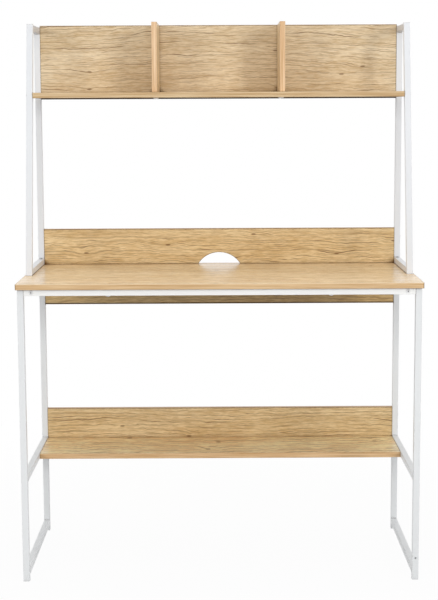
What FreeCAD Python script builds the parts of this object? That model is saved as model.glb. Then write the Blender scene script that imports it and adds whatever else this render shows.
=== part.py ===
import FreeCAD, Part
import Sketcher
import os
import re

# A desk with a hutch: square steel tube frames, laminated boards, two shelves and two dividers.
# Millimetres, +Z up, the front faces -Y, the origin is on the floor below the middle of the desktop.

V = FreeCAD.Vector
doc = FreeCAD.newDocument("desk_with_shelves")

# Driving sizes
SIZES = {
    # boards
    "desk_width": 1000,
    "desk_depth": 480,
    "desk_height": 754,
    "board": 14,
    "band": 1,
    # frame tubes, and how far the desktop reaches past them
    "tube": 16,
    "tube_wall": 1.2,
    "tube_corner": 1.5,
    "end_overhang": 3,
    "edge_overhang": 10,
    "rail_lift": 14,
    # feet and caps pushed into the tubes
    "foot_height": 4,
    "foot_insert": 18,
    "cap_height": 2,
    "cap_insert": 8,
    "plug_clearance": 0.3,
    # lower shelf and the back panels
    "lower_shelf_height": 267,
    "lower_shelf_depth": 192,
    "lower_panel_height": 97,
    "modesty_height": 97,
    "desk_panel_height": 97,
    "panel_setback": 2,
    "notch_width": 116,
    "notch_height": 32,
    # hutch
    "monitor_space": 452,
    "bay_height": 180,
    "upper_panel_drop": 2.5,
    "post_drop": 5,
    "post_setback": 184,
    "post_lean": 122,
    "divider_spacing": 332,
    "divider_setback": 18,
    # crossbar below the desktop's front edge
    "crossbar_gap": 0.3,
    "crossbar_bolt_inset": 19,
    "crossbar_screw_spacing": 548,
    "spigot_length": 40,
    "spigot_clearance": 0.3,
    # fasteners: head diameter, crown height, shank diameter, length in what they hold
    "frame_screw_head": 14,
    "frame_screw_crown": 2,
    "frame_screw_shank": 5,
    "frame_screw_bite": 30,
    "desktop_screw_head": 15,
    "desktop_screw_crown": 3,
    "desktop_screw_shank": 5,
    "desktop_screw_bite": 9,
    "divider_screw_head": 12,
    "divider_screw_crown": 2.5,
    "divider_screw_shank": 4,
    "divider_screw_bite": 30,
    "back_screw_head": 8,
    "back_screw_crown": 2,
    "back_screw_shank": 4,
    "back_screw_bite": 30,
    "hutch_bolt_head": 11,
    "hutch_bolt_crown": 3,
    "hutch_bolt_shank": 6,
    "crossbar_bolt_head": 11,
    "crossbar_bolt_crown": 3,
    "crossbar_bolt_shank": 6,
    "nut_width": 10,
    "nut_height": 5,
    "bolt_tail": 2,
    "bore_clearance": 0.1,
    "tip_clearance": 0.5,
    # distance of a fastener from the edge or the tube that it lies beside
    "frame_screw_inset": 24,
    "shelf_screw_inset": 40,
    "desktop_screw_inset": 70,
    "divider_screw_inset": 30,
    "back_screw_inset": 50,
    "hutch_bolt_inset": 11,
    # vent hole in one leg of each leg frame
    "vent_diameter": 4,
    "vent_height": 56,
    # how far a cut runs past the face that it opens
    "overrun": 2,
    # shares of the head diameter, of the crown height and of half the inner width
    "socket_radius_share": 0.16,
    "socket_depth_share": 0.7,
    "back_screw_spread_share": 0.7,
}

# Sizes that follow from the driving ones
DERIVED = {
    "frame_width": "desk_width - 2 * end_overhang",
    "inner_width": "frame_width - 2 * tube",
    "side_centre": "(frame_width - tube) / 2",
    "cavity": "tube - 2 * tube_wall",
    "desk_under": "desk_height - board",
    "leg_front": "edge_overhang - desk_depth / 2",
    "leg_rear": "desk_depth / 2 - edge_overhang",
    "rear_front": "leg_rear - tube",
    "rail_length": "rear_front - leg_front - tube",
    "leg_length": "desk_under - foot_height",
    "panel_front": "rear_front + panel_setback",
    "panel_mid": "panel_front + board / 2",
    "panel_rear": "panel_front + board",
    "lower_shelf_under": "lower_shelf_height - board",
    "lower_shelf_front": "panel_front - lower_shelf_depth",
    "shelf_under": "desk_height + monitor_space",
    "shelf_top": "shelf_under + board",
    "bay_top": "shelf_top + bay_height",
    "post_length": "monitor_space + board + bay_height - post_drop",
    "post_slope": "post_lean / post_length",
    "post_stretch": "sqrt(1 + post_slope ^ 2)",
    "post_section": "tube * post_stretch",
    "post_wall": "tube_wall * post_stretch",
    "post_front": "post_setback - desk_depth / 2",
    "shelf_front": "post_front + post_slope * monitor_space",
    "divider_front": "shelf_front + divider_setback",
    "divider_depth": "panel_front - divider_front",
    "notch_radius": "(notch_width ^ 2 / 4 + notch_height ^ 2) / (2 * notch_height)",
    "crossbar_length": "inner_width - 2 * crossbar_gap",
    "spigot": "cavity - 2 * spigot_clearance",
    "frame_screw_length": "tube + frame_screw_bite",
    "desktop_screw_length": "tube + desktop_screw_bite",
    "divider_screw_length": "board + divider_screw_bite",
    "back_screw_length": "board + back_screw_bite",
    "hutch_bolt_length": "2 * tube + board + nut_height + bolt_tail",
    "crossbar_bolt_length": "tube - tube_wall - spigot_clearance - bolt_tail",
}

FASTENERS = ("frame_screw", "desktop_screw", "divider_screw", "back_screw", "hutch_bolt", "crossbar_bolt")
for kind in FASTENERS:
    DERIVED[kind + "_dome"] = f"({kind}_head ^ 2 / 4 + {kind}_crown ^ 2) / (2 * {kind}_crown)"

# Back panels: underside, top, and the upright of each side frame that holds them
PANELS = {
    "lower_back_panel": ("lower_shelf_under", "lower_shelf_under + lower_panel_height", "rear_leg"),
    "modesty_panel": ("desk_under - modesty_height", "desk_under", "rear_leg"),
    "desk_back_panel": ("desk_height", "desk_height + desk_panel_height", "hutch_rear_post"),
    "upper_back_panel": ("shelf_under - upper_panel_drop", "bay_top", "hutch_rear_post"),
}
HUTCH_BOLT_ROWS = ("post_front + post_section + hutch_bolt_inset", "rear_front - hutch_bolt_inset")
SIDES = {"left": -1, "right": 1}

# Spreadsheet
sheet = doc.addObject("Spreadsheet::Sheet", "sizes")
cells = {alias: str(number) for alias, number in SIZES.items()}
cells.update({alias: "=" + rule for alias, rule in DERIVED.items()})
for row, (alias, content) in enumerate(cells.items(), 1):
    sheet.set(f"A{row}", alias)
    sheet.set(f"B{row}", content)
    sheet.setAlias(f"B{row}", alias)
doc.recompute()


# Expressions and placing
def formula(text):
    """The same formula, with each size named as a cell of the sheet."""
    return re.sub(r"[a-z]\w*", lambda word: "sizes." * (word[0] in cells) + word[0], text)


def value(text):
    return float(sheet.evalExpression(formula(text)))


def bind(obj, prop, text):
    obj.setExpression(prop, formula(text))


def place(obj, at, prop="Placement"):
    for axis, text in zip("xyz", at):
        bind(obj, f"{prop}.Base.{axis}", text)


def turned(way):
    """A placement at the origin that turns +Z to the given direction."""
    return FreeCAD.Placement(V(), FreeCAD.Rotation(V(0, 0, 1), way))


pieces = []
cutters = {}


def keep(obj, label):
    obj.Label = label
    pieces.append(obj)


def keep_cut(obj, label):
    """Keep a piece less the holes that were listed for it."""
    if label not in cutters:
        return keep(obj, label)
    obj.Label = label + "_blank"
    tool = doc.addObject("Part::Compound", label + "_cutters")
    tool.Links = cutters[label]
    cut = doc.addObject("Part::Cut", label)
    cut.Base = obj
    cut.Tool = tool
    return keep(cut, label)


def keep_group(members, label):
    group = doc.addObject("Part::Compound", label)
    group.Links = members
    keep(group, label)


def cylinder(name, radius, height, at, way):
    obj = doc.addObject("Part::Cylinder", name)
    bind(obj, "Radius", radius)
    bind(obj, "Height", height)
    obj.Placement = turned(way)
    place(obj, at)
    return obj


def block(name, size, corner):
    obj = doc.addObject("Part::Box", name)
    for prop, text in zip(("Length", "Width", "Height"), size):
        bind(obj, prop, text)
    place(obj, corner)
    return obj


# Fasteners: a domed head with a hexagonal socket, seated on the plane Z = 0, the shank along +Z
def fastener_shape(kind):
    dome = doc.addObject("Part::Sphere", kind + "_dome")
    bind(dome, "Radius", f"{kind}_dome")
    dome.Angle1 = -90
    bind(dome, "Angle2", f"-asin(({kind}_dome - {kind}_crown) / {kind}_dome)")
    bind(dome, "Placement.Base.z", f"{kind}_dome - {kind}_crown")
    shank = cylinder(kind + "_stem", f"{kind}_shank / 2", f"{kind}_length", ("0", "0", "0"), V(0, 0, 1))
    solid = doc.addObject("Part::Fuse", kind + "_solid")
    solid.Base = dome
    solid.Tool = shank
    socket = doc.addObject("Part::Prism", kind + "_socket")
    socket.Polygon = 6
    bind(socket, "Circumradius", f"{kind}_head * socket_radius_share")
    bind(socket, "Height", f"{kind}_crown * socket_depth_share")
    place(socket, ("0", "0", f"-{kind}_crown"))
    shape = doc.addObject("Part::Cut", kind)
    shape.Base = solid
    shape.Tool = socket
    return shape


shapes = {kind: fastener_shape(kind) for kind in FASTENERS}
fasteners = {kind: [] for kind in FASTENERS}


def fasten(kind, seat, way, through):
    """One fastener, pointing along way from its seat, and its bore in each piece that it goes through."""
    name = f"{kind}_{len(fasteners[kind]) + 1}"
    link = doc.addObject("App::Link", name)
    link.LinkedObject = shapes[kind]
    link.LinkPlacement = turned(way)
    place(link, seat, "LinkPlacement")
    fasteners[kind].append(link)
    start = [f"{text} - {part:.0f} * overrun" for text, part in zip(seat, way)]
    depth = f"overrun + {kind}_length + tip_clearance"
    bore = cylinder(name + "_bore", f"{kind}_shank / 2 + bore_clearance", depth, start, way)
    for label in through:
        cutters.setdefault(label, []).append(bore)


for side, sign in SIDES.items():
    outside = f"{sign} * frame_width / 2"
    centre = f"{sign} * side_centre"
    inward = V(-sign, 0, 0)
    # back panels and shelves, held at their ends through the tubes
    for panel, (under, top, upright) in PANELS.items():
        for height in (f"{under} + frame_screw_inset", f"{top} - frame_screw_inset"):
            fasten("frame_screw", (outside, "panel_mid", height), inward, (f"{side}_{upright}", panel))
    post_mid = "post_front + post_slope * (monitor_space + board / 2) + post_section / 2"
    seat = (outside, post_mid, "shelf_under + board / 2")
    fasten("frame_screw", seat, inward, (f"{side}_hutch_front_post", "upper_shelf"))
    for along in ("lower_shelf_front + shelf_screw_inset", "panel_front - shelf_screw_inset"):
        seat = (outside, along, "lower_shelf_under + board / 2")
        fasten("frame_screw", seat, inward, (f"{side}_shelf_rail", "lower_shelf"))
    # desktop, held from below through the top rails and the crossbar
    for along in ("leg_front + tube + desktop_screw_inset", "rear_front - desktop_screw_inset"):
        seat = (centre, along, "desk_under - tube")
        fasten("desktop_screw", seat, V(0, 0, 1), (f"{side}_top_rail", "desktop"))
    seat = (f"{sign} * crossbar_screw_spacing / 2", "leg_front + tube / 2", "desk_under - tube")
    fasten("desktop_screw", seat, V(0, 0, 1), ("front_crossbar", "desktop"))
    # crossbar, bolted to a spigot on each leg
    bolt_across = f"{sign} * (inner_width / 2 - crossbar_bolt_inset)"
    seat = (bolt_across, "leg_front", "desk_under - tube / 2")
    fasten("crossbar_bolt", seat, V(0, 1, 0), ("front_crossbar", f"{side}_spigot"))
    # hutch, bolted down through the desktop and the top rail
    for along in HUTCH_BOLT_ROWS:
        seat = (centre, along, "desk_height + tube")
        fasten("hutch_bolt", seat, V(0, 0, -1), (f"{side}_hutch_base_rail", "desktop", f"{side}_top_rail"))
    # dividers, held from below and from behind
    divider_mid = f"{sign} * divider_spacing / 2"
    for along in ("divider_front + divider_screw_inset", "panel_front - divider_screw_inset"):
        seat = (divider_mid, along, "shelf_under")
        fasten("divider_screw", seat, V(0, 0, 1), ("upper_shelf", f"{side}_divider"))
    for height in ("shelf_top + back_screw_inset", "bay_top - back_screw_inset"):
        seat = (divider_mid, "panel_rear", height)
        fasten("back_screw", seat, V(0, -1, 0), ("upper_back_panel", f"{side}_divider"))

# shelves, held from behind
for shelf, panel, under in (
    ("upper_shelf", "upper_back_panel", "shelf_under"),
    ("lower_shelf", "lower_back_panel", "lower_shelf_under"),
):
    for step in (-1, 0, 1):
        seat = (f"{step} * back_screw_spread_share * inner_width / 2", "panel_rear", f"{under} + board / 2")
        fasten("back_screw", seat, V(0, -1, 0), (panel, shelf))


# Sketched bodies: the planes they are drawn on, and the axis across each plane
DEPTH_AXES = {"YZ_Plane": 0, "XZ_Plane": 1}


def outline(body, plane, name, points):
    """A closed outline on one of the body's own planes, each corner held by its two distances."""
    sketch = body.newObject("Sketcher::SketchObject", name)
    support = next(item for item in body.Origin.OriginFeatures if item.Role == plane)
    sketch.AttachmentSupport = [(support, "")]
    sketch.MapMode = "FlatFace"
    corners = [V(value(across), value(up), 0) for across, up in points]
    for number, corner in enumerate(corners):
        following = corners[(number + 1) % len(corners)]
        sketch.addGeometry(Part.LineSegment(corner, following), False)
    for number, corner in enumerate(corners):
        following = (number + 1) % len(corners)
        sketch.addConstraint(Sketcher.Constraint("Coincident", number, 2, following, 1))
        for kind, text, distance in zip(("DistanceX", "DistanceY"), points[number], corner):
            index = sketch.addConstraint(Sketcher.Constraint(kind, -1, 1, number, 1, distance))
            bind(sketch, f"Constraints[{index}]", text)
    return sketch


def extrude(body, feature, sketch, thickness):
    """Add or cut an even thickness to both sides of the sketch's plane."""
    obj = body.newObject("PartDesign::" + feature, f"{sketch.Name}_{feature}")
    obj.Profile = sketch
    obj.SideType = "Symmetric"
    bind(obj, "Length", thickness)
    doc.recompute()
    return obj


def round_edges(body, feature, names, radius):
    fillet = body.newObject("PartDesign::Fillet", body.Name + "_corners")
    fillet.Base = (feature, names)
    bind(fillet, "Radius", radius)


def side_edges(shape, depth_axis, wanted):
    """Names of the wanted edges on the two outer sides of an extruded tube or plug."""
    half = value("tube / 2")
    found = []
    for number, edge in enumerate(shape.Edges, 1):
        depths = [vertex.Point[depth_axis] for vertex in edge.Vertexes]
        if all(round(abs(depth) - half, 6) == 0 for depth in depths) and wanted(edge):
            found.append(f"Edge{number}")
    return found


def rectangle(low_across, low_up, high_across, high_up):
    return [(low_across, low_up), (high_across, low_up), (high_across, high_up), (low_across, high_up)]


# Tubes
def tube(label, plane, outer, inner, at):
    """A hollow square tube: its long section outline, less the outline of its cavity, edges rounded."""
    body = doc.addObject("PartDesign::Body", label + "_body")
    place(body, at)
    extrude(body, "Pad", outline(body, plane, label + "_outer", outer), "tube")
    hollow = extrude(body, "Pocket", outline(body, plane, label + "_inner", inner), "cavity")
    long_edges = side_edges(hollow.Shape, DEPTH_AXES[plane], lambda edge: edge.Length > value("2 * tube"))
    round_edges(body, hollow, long_edges, "tube_corner")
    keep_cut(body, label)


def upright(label, at, length):
    outer = rectangle("0", "0", "tube", length)
    inner = rectangle("tube_wall", "-overrun", "tube - tube_wall", f"{length} + overrun")
    tube(label, "YZ_Plane", outer, inner, at)


def rail(label, at, length, foot_slope="0"):
    """A level tube along Y, with its front end cut to the slope of the post that it meets."""
    outer = [("0", "0"), (length, "0"), (length, "tube"), (f"{foot_slope} * tube", "tube")]
    inner = rectangle("-overrun", "tube_wall", f"{length} + overrun", "tube - tube_wall")
    tube(label, "YZ_Plane", outer, inner, at)


def leaning_post(label, at):
    def band(front, rear, low, high):
        low_shift = f"post_slope * ({low})"
        high_shift = f"post_slope * ({high})"
        return [
            (f"{front} + {low_shift}", low),
            (f"{rear} + {low_shift}", low),
            (f"{rear} + {high_shift}", high),
            (f"{front} + {high_shift}", high),
        ]

    outer = band("0", "post_section", "0", "post_length")
    inner = band("post_wall", "post_section - post_wall", "-overrun", "post_length + overrun")
    tube(label, "YZ_Plane", outer, inner, at)


def side_frame(side, centre):
    rail_start = "leg_front + tube"
    upright(f"{side}_front_leg", (centre, "leg_front", "foot_height"), "leg_length")
    upright(f"{side}_rear_leg", (centre, "rear_front", "foot_height"), "leg_length")
    rail(f"{side}_bottom_rail", (centre, rail_start, "rail_lift"), "rail_length")
    rail(f"{side}_shelf_rail", (centre, rail_start, "lower_shelf_under"), "rail_length")
    rail(f"{side}_top_rail", (centre, rail_start, "desk_under - tube"), "rail_length")


def hutch_frame(side, centre):
    leaning_post(f"{side}_hutch_front_post", (centre, "post_front", "desk_height"))
    upright(f"{side}_hutch_rear_post", (centre, "rear_front", "desk_height"), "post_length")
    base_start = "post_front + post_section"
    base_length = f"rear_front - ({base_start})"
    rail(f"{side}_hutch_base_rail", (centre, base_start, "desk_height"), base_length, "post_slope")
    top_rise = "(post_length - tube)"
    top_start = f"{base_start} + post_slope * {top_rise}"
    top_length = f"rear_front - ({top_start})"
    rail(f"{side}_hutch_top_rail", (centre, top_start, f"desk_height + {top_rise}"), top_length, "post_slope")


def vent_hole(label, across, along, way):
    """A small hole through one wall of a leg."""
    start = f"{along} - {way.y:.0f} * overrun"
    hole = cylinder(
        label + "_vent", "vent_diameter / 2", "tube_wall + 2 * overrun", (across, start, "vent_height"), way
    )
    cutters.setdefault(label, []).append(hole)


# the two leg frames are one shape, turned round, so their vent holes face opposite ways
vent_hole("right_front_leg", "side_centre", "leg_front", V(0, 1, 0))
vent_hole("left_rear_leg", "-side_centre", "leg_rear", V(0, -1, 0))
for side, sign in SIDES.items():
    side_frame(side, f"{sign} * side_centre")
    hutch_frame(side, f"{sign} * side_centre")

# Crossbar, with a solid spigot inside each end
half_bar = "crossbar_length / 2"
bar_outer = rectangle(f"-{half_bar}", "0", half_bar, "tube")
bar_inner = rectangle(f"-{half_bar} - overrun", "tube_wall", f"{half_bar} + overrun", "tube - tube_wall")
tube("front_crossbar", "XZ_Plane", bar_outer, bar_inner, ("0", "leg_front + tube / 2", "desk_under - tube"))


def spigot(side, sign):
    start = f"{sign} * (inner_width - spigot_length) / 2 - spigot_length / 2"
    corner = (start, "leg_front + (tube - spigot) / 2", "desk_under - (tube + spigot) / 2")
    cut = doc.addObject("Part::Cut", f"{side}_spigot")
    cut.Base = block(f"{side}_spigot_blank", ("spigot_length", "spigot", "spigot"), corner)
    cut.Tool = cutters[f"{side}_spigot"][0]
    return cut


keep_group([spigot(side, sign) for side, sign in SIDES.items()], "crossbar_spigots")


# Feet and caps: a flange over the end of the tube and an insert in its cavity
def plug(label, at, section, flange, insert_outline):
    body = doc.addObject("PartDesign::Body", label)
    place(body, at)
    flange_outline = rectangle("0", "0", section, flange)
    extrude(body, "Pad", outline(body, "YZ_Plane", label + "_flange", flange_outline), "tube")
    insert = outline(body, "YZ_Plane", label + "_insert", insert_outline)
    whole = extrude(body, "Pad", insert, "cavity - 2 * plug_clearance")
    corners = side_edges(whole.Shape, 0, lambda edge: round(edge.tangentAt(edge.FirstParameter).z, 6) != 0)
    round_edges(body, whole, corners, "tube_corner")
    keep(body, label)


near_wall = "tube_wall + plug_clearance"
far_wall = "tube - tube_wall - plug_clearance"
lean = "post_slope * cap_insert"
foot_insert = rectangle(near_wall, "foot_height", far_wall, "foot_height + foot_insert")
cap_insert = rectangle(near_wall, "-cap_insert", far_wall, "0")
leaning_insert = [
    (f"post_wall + plug_clearance - {lean}", "-cap_insert"),
    (f"post_section - post_wall - plug_clearance - {lean}", "-cap_insert"),
    ("post_section - post_wall - plug_clearance", "0"),
    ("post_wall + plug_clearance", "0"),
]
for side, sign in SIDES.items():
    centre = f"{sign} * side_centre"
    cap_base = "desk_height + post_length"
    plug(f"{side}_front_foot", (centre, "leg_front", "0"), "tube", "foot_height", foot_insert)
    plug(f"{side}_rear_foot", (centre, "rear_front", "0"), "tube", "foot_height", foot_insert)
    plug(f"{side}_rear_cap", (centre, "rear_front", cap_base), "tube", "cap_height", cap_insert)
    leaning_top = (centre, "post_front + post_lean", cap_base)
    plug(f"{side}_front_cap", leaning_top, "post_section", "cap_height", leaning_insert)


# Boards, with an edge band on each sawn edge that shows
def board(label, size, corner):
    keep_cut(block(label, size, corner), label)


left_end = "-inner_width / 2"
board(
    "desktop",
    ("desk_width - 2 * band", "desk_depth - 2 * band", "board"),
    ("band - desk_width / 2", "band - desk_depth / 2", "desk_under"),
)
long_band = ("desk_width", "band", "board")
short_band = ("band", "desk_depth - 2 * band", "board")
keep_group(
    [
        block("front_band", long_band, ("-desk_width / 2", "-desk_depth / 2", "desk_under")),
        block("rear_band", long_band, ("-desk_width / 2", "desk_depth / 2 - band", "desk_under")),
        block("left_band", short_band, ("-desk_width / 2", "band - desk_depth / 2", "desk_under")),
        block("right_band", short_band, ("desk_width / 2 - band", "band - desk_depth / 2", "desk_under")),
    ],
    "desktop_edge_bands",
)

for label, front, under in (
    ("upper_shelf", "shelf_front", "shelf_under"),
    ("lower_shelf", "lower_shelf_front", "lower_shelf_under"),
):
    depth = f"panel_front - {front} - band"
    board(label, ("inner_width", depth, "board"), (left_end, f"{front} + band", under))
    strip = block(label + "_band", ("inner_width", "band", "board"), (left_end, front, under))
    keep(strip, label + "_edge_band")

# an arched cable notch in the lower edge of the panel on the desktop
notch_start = ("0", "panel_front - overrun", "desk_height + notch_height - notch_radius")
notch = cylinder("notch", "notch_radius", "board + 2 * overrun", notch_start, V(0, 1, 0))
cutters["desk_back_panel"].append(notch)
for label, (under, top, _) in PANELS.items():
    banded_below = label == "modesty_panel"
    core_under = f"{under} + band" if banded_below else under
    band_under = under if banded_below else f"{top} - band"
    core_height = f"{top} - ({under}) - band"
    board(label, ("inner_width", "board", core_height), (left_end, "panel_front", core_under))
    strip = block(label + "_band", ("inner_width", "board", "band"), (left_end, "panel_front", band_under))
    keep(strip, label + "_edge_band")

for side, sign in SIDES.items():
    start = f"{sign} * divider_spacing / 2 - board / 2"
    core = ("board", "divider_depth - band", "bay_height - band")
    board(f"{side}_divider", core, (start, "divider_front + band", "shelf_top"))
    front_size = ("board", "band", "bay_height")
    top_size = ("board", "divider_depth - band", "band")
    keep_group(
        [
            block(f"{side}_divider_front", front_size, (start, "divider_front", "shelf_top")),
            block(f"{side}_divider_top", top_size, (start, "divider_front + band", "bay_top - band")),
        ],
        f"{side}_divider_edge_bands",
    )


# Fastener groups, and a nut below the top rail on each hutch bolt
def nut(number, across, along):
    under = "desk_under - tube - nut_height"
    hexagon = doc.addObject("Part::Prism", f"nut_{number}_hexagon")
    hexagon.Polygon = 6
    bind(hexagon, "Circumradius", "nut_width / sqrt(3)")
    bind(hexagon, "Height", "nut_height")
    place(hexagon, (across, along, under))
    bore_start = (across, along, f"{under} - overrun")
    bore_radius = "hutch_bolt_shank / 2 + bore_clearance"
    cut = doc.addObject("Part::Cut", f"nut_{number}")
    cut.Base = hexagon
    cut.Tool = cylinder(f"nut_{number}_bore", bore_radius, "nut_height + 2 * overrun", bore_start, V(0, 0, 1))
    return cut


for kind, links in fasteners.items():
    keep_group(links, kind + "s")
nut_places = [(f"{sign} * side_centre", along) for sign in SIDES.values() for along in HUTCH_BOLT_ROWS]
keep_group([nut(number, *spot) for number, spot in enumerate(nut_places, 1)], "hutch_nuts")

# Check and write every piece
doc.recompute()
failed = [obj.Label for obj in doc.Objects if "Invalid" in obj.State or "Error" in obj.State]
failed += [piece.Label for piece in pieces if piece.Shape.isNull() or not piece.Shape.isValid()]
if failed:
    raise RuntimeError("not built: " + ", ".join(failed))
os.makedirs("parts", exist_ok=True)
for piece in pieces:
    piece.Shape.exportStep(f"parts/{piece.Label}.step")
print(len(pieces), "pieces")
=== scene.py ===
import math
from typing import NamedTuple

import bmesh
import bpy
from bpy.props import FloatProperty, FloatVectorProperty, IntProperty, PointerProperty
from bpy.types import NodeSocket, Operator, Panel, PropertyGroup
from mathutils import Matrix, Vector


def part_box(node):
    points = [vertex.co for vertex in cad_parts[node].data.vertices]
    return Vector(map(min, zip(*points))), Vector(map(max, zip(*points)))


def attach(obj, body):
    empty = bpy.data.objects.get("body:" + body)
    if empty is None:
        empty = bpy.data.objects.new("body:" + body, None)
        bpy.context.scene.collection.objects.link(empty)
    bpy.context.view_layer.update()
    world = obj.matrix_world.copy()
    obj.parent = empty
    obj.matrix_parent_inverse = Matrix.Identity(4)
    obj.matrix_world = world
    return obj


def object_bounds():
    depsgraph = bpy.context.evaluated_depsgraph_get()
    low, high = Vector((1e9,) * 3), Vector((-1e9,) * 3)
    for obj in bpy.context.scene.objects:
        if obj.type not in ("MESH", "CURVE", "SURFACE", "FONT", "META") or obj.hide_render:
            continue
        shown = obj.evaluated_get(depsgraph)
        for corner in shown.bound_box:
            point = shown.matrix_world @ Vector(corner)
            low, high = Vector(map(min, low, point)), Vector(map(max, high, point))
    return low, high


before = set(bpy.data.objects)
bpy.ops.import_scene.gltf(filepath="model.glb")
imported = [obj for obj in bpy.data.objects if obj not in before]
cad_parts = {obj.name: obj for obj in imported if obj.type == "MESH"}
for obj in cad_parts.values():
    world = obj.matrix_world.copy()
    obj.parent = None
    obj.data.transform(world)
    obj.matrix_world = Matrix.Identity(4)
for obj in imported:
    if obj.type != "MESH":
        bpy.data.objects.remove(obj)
CAD_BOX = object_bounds()

bl_info = {
    "name": "Desk with Shelves",
    "version": (1, 0, 0),
    "blender": (4, 5, 0),
    "location": "3D View > Sidebar > Desk",
    "description": "Finishes for a tube-frame desk with a hutch: laminate, powder coat, fasteners and studio",
    "category": "Object",
}

BODY = "root"
SIDES = ("left", "right")
RIGHT_ANGLE = math.radians(90)


# Boards and edge bands
class Board(NamedTuple):
    """How one board shows the oak print."""

    grain: str  # Axis that the grain runs along
    cut: float  # Which stretch of the print the board shows
    strength: float  # How strongly the dark grain shows
    spread: float  # How far the grain is spread over the board's depth
    tint: tuple  # Shares of red, green and blue


PLAIN_TINT = (1.0, 1.0, 1.0)
# Painted light and shade in the tints: the desktop and the lower shelf are lightened to stand in for light
# from above, which the desktop keeps off the lower shelf, and the modesty panel is darkened and yellowed as
# painted shade under the desktop
BOARDS = {
    "desktop": Board("X", 0.0, 1.75, 1.8, (1.23, 1.22, 1.22)),
    "upper_back_panel": Board("X", 1.0, 1.2, 1.0, (0.96, 1.0, 1.08)),
    "desk_back_panel": Board("X", 2.0, 1.42, 1.0, (1.04, 1.01, 0.9)),
    "lower_shelf": Board("X", 3.0, 2.2, 2.6, (1.42, 1.3, 1.17)),
    "lower_back_panel": Board("X", 4.0, 1.4, 1.0, (1.05, 1.03, 0.93)),
    "modesty_panel": Board("X", 5.0, 1.4, 1.0, (0.97, 0.88, 0.66)),
    "upper_shelf": Board("X", 6.0, 1.0, 1.0, PLAIN_TINT),
    "left_divider": Board("Z", 7.0, 1.0, 1.0, PLAIN_TINT),
    "right_divider": Board("Z", 8.0, 1.0, 1.0, PLAIN_TINT),
}
FRAMED_BOARDS = ("upper_back_panel", "desk_back_panel", "lower_back_panel", "modesty_panel")
# Boards whose raw lower edge gets a painted shadow strip
HANGING_BOARDS = ("upper_back_panel", "modesty_panel")
# Turn of the print for each grain axis, and metres of print from one cut to the next
GRAIN_TURNS = {"X": (0.0, 0.0, 0.0), "Z": (0.0, RIGHT_ANGLE, 0.0)}
CUT_STEP = (3.7, 1.9, 2.3)

# Edge bands: the axis across their fine lines, and their tint
PANEL_BAND_TINT = (0.66, 0.62, 0.56)
BANDS = {
    "desktop_edge_bands": ("Z", (0.87, 0.87, 0.82)),
    "upper_shelf_edge_band": ("Z", (0.8, 0.85, 0.85)),
    "lower_shelf_edge_band": ("Z", (0.9, 0.87, 0.8)),
    "upper_back_panel_edge_band": ("Y", PANEL_BAND_TINT),
    "desk_back_panel_edge_band": ("Y", PANEL_BAND_TINT),
    "lower_back_panel_edge_band": ("Y", PANEL_BAND_TINT),
    "modesty_panel_edge_band": ("Y", PANEL_BAND_TINT),
    "left_divider_edge_bands": ("X", (0.98, 1.0, 1.06)),
    "right_divider_edge_bands": ("X", (1.02, 1.04, 1.1)),
}

# Frame: the tubes of each side under the name of their coat, the plugs and the fasteners
# The hutch coat is a darker, bluer copy of the powder coat, whose darkening is painted shade; the top rail
# coat is a darker copy that paints shade
TUBES = {
    "powder_coat": ("front_leg", "rear_leg", "bottom_rail", "shelf_rail", "top_rail"),
    "hutch_coat": ("hutch_front_post", "hutch_rear_post", "hutch_base_rail"),
    "top_rail_coat": ("hutch_top_rail",),
}
PLUGS = ("front_foot", "rear_foot", "front_cap", "rear_cap")
PAINTED_SCREWS = ("frame_screws", "desktop_screws", "divider_screws", "crossbar_bolts")
STEEL_FASTENERS = ("hutch_bolts", "hutch_nuts", "back_screws")

# Weld beads: steps in a ripple, a ripple's height, the narrow ends, and the rim of the hollow fillet
RIPPLE_STEPS = 6
RIPPLE_SHARE = 0.1
BEAD_END_SHARE = 0.55
BEAD_SWELL = 4
RIM_STEPS = 5
HOLLOW_SHARE = 0.28


# Softboxes
class Softbox(NamedTuple):
    """A rectangular lamp that faces the middle of the desk."""

    place: tuple
    size: tuple
    power: str  # Name of the property that holds its power


SOFTBOXES = {
    "key_softbox": Softbox((3.1, -5.0, 2.1), (1.1, 1.2), "key_power"),
    "fill_softbox": Softbox((-3.3, -4.2, 2.1), (1.2, 1.2), "fill_power"),
    "top_softbox": Softbox((0.0, 0.2, 3.6), (2.4, 2.4), "top_power"),
    "high_softbox": Softbox((0.0, -3.0, 4.2), (3.0, 2.0), "high_power"),
    "left_softbox": Softbox((-3.6, -0.3, 1.7), (2.4, 2.4), "side_power"),
    "right_softbox": Softbox((3.6, -0.3, 1.7), (2.4, 2.4), "side_power"),
    "left_back_softbox": Softbox((-3.2, 4.0, 2.1), (3.2, 3.2), "back_power"),
    "right_back_softbox": Softbox((3.2, 4.0, 2.1), (3.2, 3.2), "back_power"),
}


# Surface patterns
class Layer(NamedTuple):
    """Noise that counts from nothing at its low value to all at its high value."""

    cycles: tuple  # Cycles per metre along each axis
    detail: float
    roughness: float
    low: float
    high: float


class Sway(NamedTuple):
    """Noise that shifts the grain sideways."""

    cycles: tuple  # Cycles per metre along each axis
    roughness: float
    reach: float  # Metres from the furthest shift one way to the furthest the other way


class GrainRows(NamedTuple):
    """Rows of thin dark lines along the grain."""

    pitch: float  # Metres from row to row
    width: float  # Half of a line's width, as a share of the pitch
    changes: float  # Changes per metre along a line
    low: float  # Noise up to which the line has a gap
    high: float  # Noise from which the line is whole


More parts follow.
